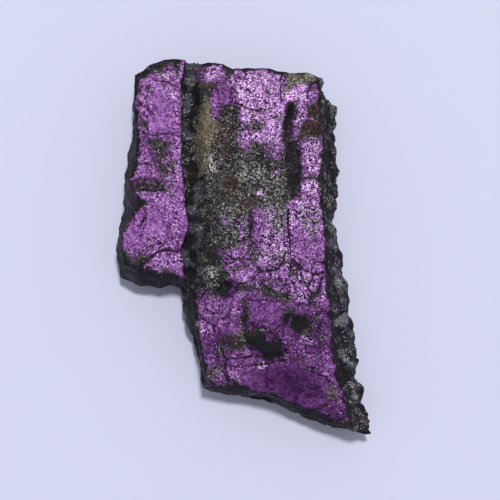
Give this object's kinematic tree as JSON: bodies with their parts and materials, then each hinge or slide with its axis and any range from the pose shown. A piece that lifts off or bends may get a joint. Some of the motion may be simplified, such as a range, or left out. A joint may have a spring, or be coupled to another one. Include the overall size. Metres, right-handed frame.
{
  "type": "purpurite specimen",
  "caption": "Loose cleavage slab of purpurite: a metallic purple face with a rough dark groove along it, ragged dark flanks with grey quartz, and a flat spot underneath to lie on.",
  "frame": {"origin": "on the resting surface, under the middle of the specimen's box", "axes": "+X across the purple face to the right, +Y along its length to the straight upper edge, +Z out of the face, up from the resting surface"},
  "size_m": [0.0313, 0.046, 0.0092],
  "materials": {
    "purpurite": "metallic purple cleavage face, dull black and brown where weathered"
  },
  "bodies": {
    "root": {"purpurite": "purpurite"}
  },
  "joints": []
}
